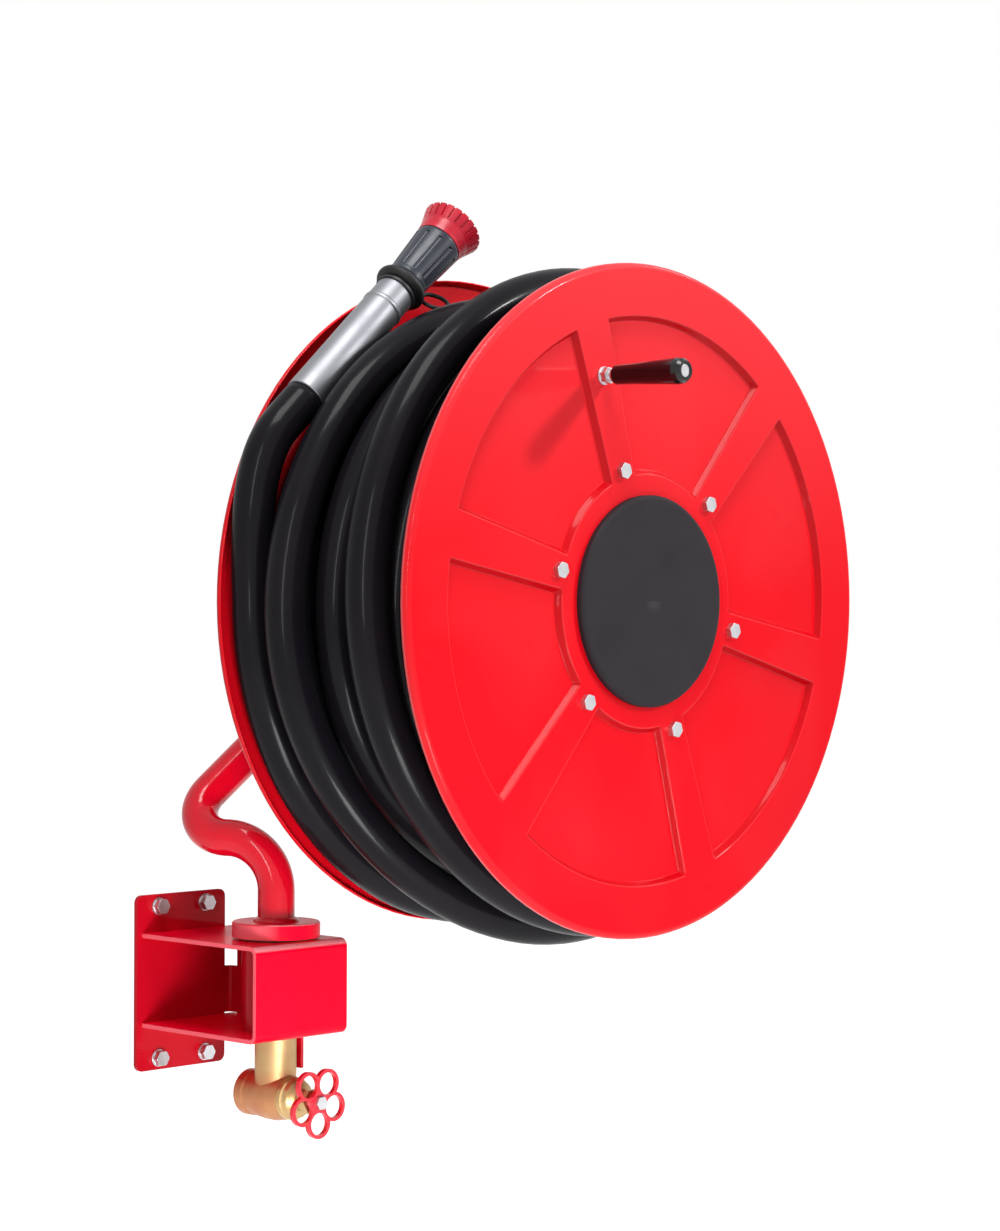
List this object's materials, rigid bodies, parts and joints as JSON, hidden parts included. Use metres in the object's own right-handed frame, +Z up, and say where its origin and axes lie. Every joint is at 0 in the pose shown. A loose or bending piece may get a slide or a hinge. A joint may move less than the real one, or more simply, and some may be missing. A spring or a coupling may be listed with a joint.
{
  "type": "fire hose reel",
  "caption": "Wall-mounted swinging hose reel with pressed discs, wound rubber hose, spray nozzle, crank handle, pipe swing arm and a stop valve under its bracket.",
  "frame": {"origin": "centre of the wall plate's back face, which is also the centre of the four wall studs", "axes": "+X along the wall towards the drum, +Y into the wall, +Z up"},
  "size_m": [0.601, 0.513, 0.8488],
  "materials": {
    "red_paint": "gloss powder coat",
    "wheel_paint": "gloss enamel",
    "zinc_steel": "bright zinc plate",
    "brass": "bare cast and turned",
    "aluminium_tube": "satin turned",
    "black_rubber": "satin synthetic rubber",
    "black_plastic": "fine moulded matte",
    "grip_plastic": "smooth moulded gloss",
    "nozzle_plastic": "satin moulded",
    "red_plastic": "moulded semi gloss",
    "tie_cord": "matte cord"
  },
  "bodies": {
    "bracket": {"wall_plate": "red_paint", "bracket_channel": "red_paint", "wall_bolts": "zinc_steel", "neck_strap": "red_paint", "swivel_housing": "brass", "valve_body": "brass", "valve_bonnet": "brass", "gland_nut": "brass", "flange_washer": "brass"},
    "handwheel": {"valve_stem": "brass", "handwheel": "wheel_paint", "wheel_nut": "zinc_steel"},
    "valve_disc": {"valve_disc": "brass"},
    "arm": {"swing_pipe": "red_paint", "thrust_flange": "red_paint", "arm_spindle": "zinc_steel", "arm_circlip": "zinc_steel", "arm_seal": "black_rubber", "hub_spindle": "zinc_steel", "hub_seal": "black_rubber", "hub_circlip": "zinc_steel", "hub_washer": "brass"},
    "drum": {"rear_disc": "red_paint", "front_disc": "red_paint", "hub_body": "zinc_steel", "spacer_tubes": "zinc_steel", "tie_bolts": "zinc_steel", "tie_nuts": "zinc_steel", "hub_cap": "black_plastic", "outlet_elbow": "zinc_steel", "hose_ferrule": "zinc_steel", "hose_core": "black_rubber", "hose_winding": "black_rubber", "crank_pin": "zinc_steel", "branch_pipe": "aluminium_tube", "nozzle_collar": "black_plastic", "bumper_ring": "black_rubber", "nozzle_body": "nozzle_plastic", "nozzle_baffle": "nozzle_plastic", "tie_ring": "tie_cord"},
    "grip": {"crank_grip": "grip_plastic"},
    "spray_head": {"nozzle_head": "red_plastic"}
  },
  "joints": [
    {"name": "arm_swing", "type": "hinge", "parent": "bracket", "child": "arm", "pos_m": [0.015, -0.118, 0.05], "axis": [0, 0, -1], "range_deg": [0, 90]},
    {"name": "drum_spin", "type": "hinge", "parent": "arm", "child": "drum", "pos_m": [0.203, -0.159, 0.3534], "axis": [0, -1, 0], "continuous": true},
    {"name": "grip_spin", "type": "hinge", "parent": "drum", "child": "grip", "pos_m": [0.14208, -0.414, 0.55019], "axis": [0, -1, 0], "continuous": true},
    {"name": "spray_turn", "type": "hinge", "parent": "drum", "child": "spray_head", "pos_m": [0.14443, -0.193, 0.68148], "axis": [0.7431, 0, 0.6691], "range_deg": [0, 180]},
    {"name": "valve_turn", "type": "hinge", "parent": "bracket", "child": "handwheel", "pos_m": [0.015, -0.174, -0.0965], "axis": [0, -1, 0], "range_deg": [0, 1260]},
    {"name": "valve_lift", "type": "slide", "parent": "bracket", "child": "valve_disc", "axis": [0, -1, 0], "range_m": [0, 0.01]}
  ],
  "couplings": [
    {"joint": "valve_lift", "follows": "valve_turn", "m_per_rad": 0.0004547}
  ]
}
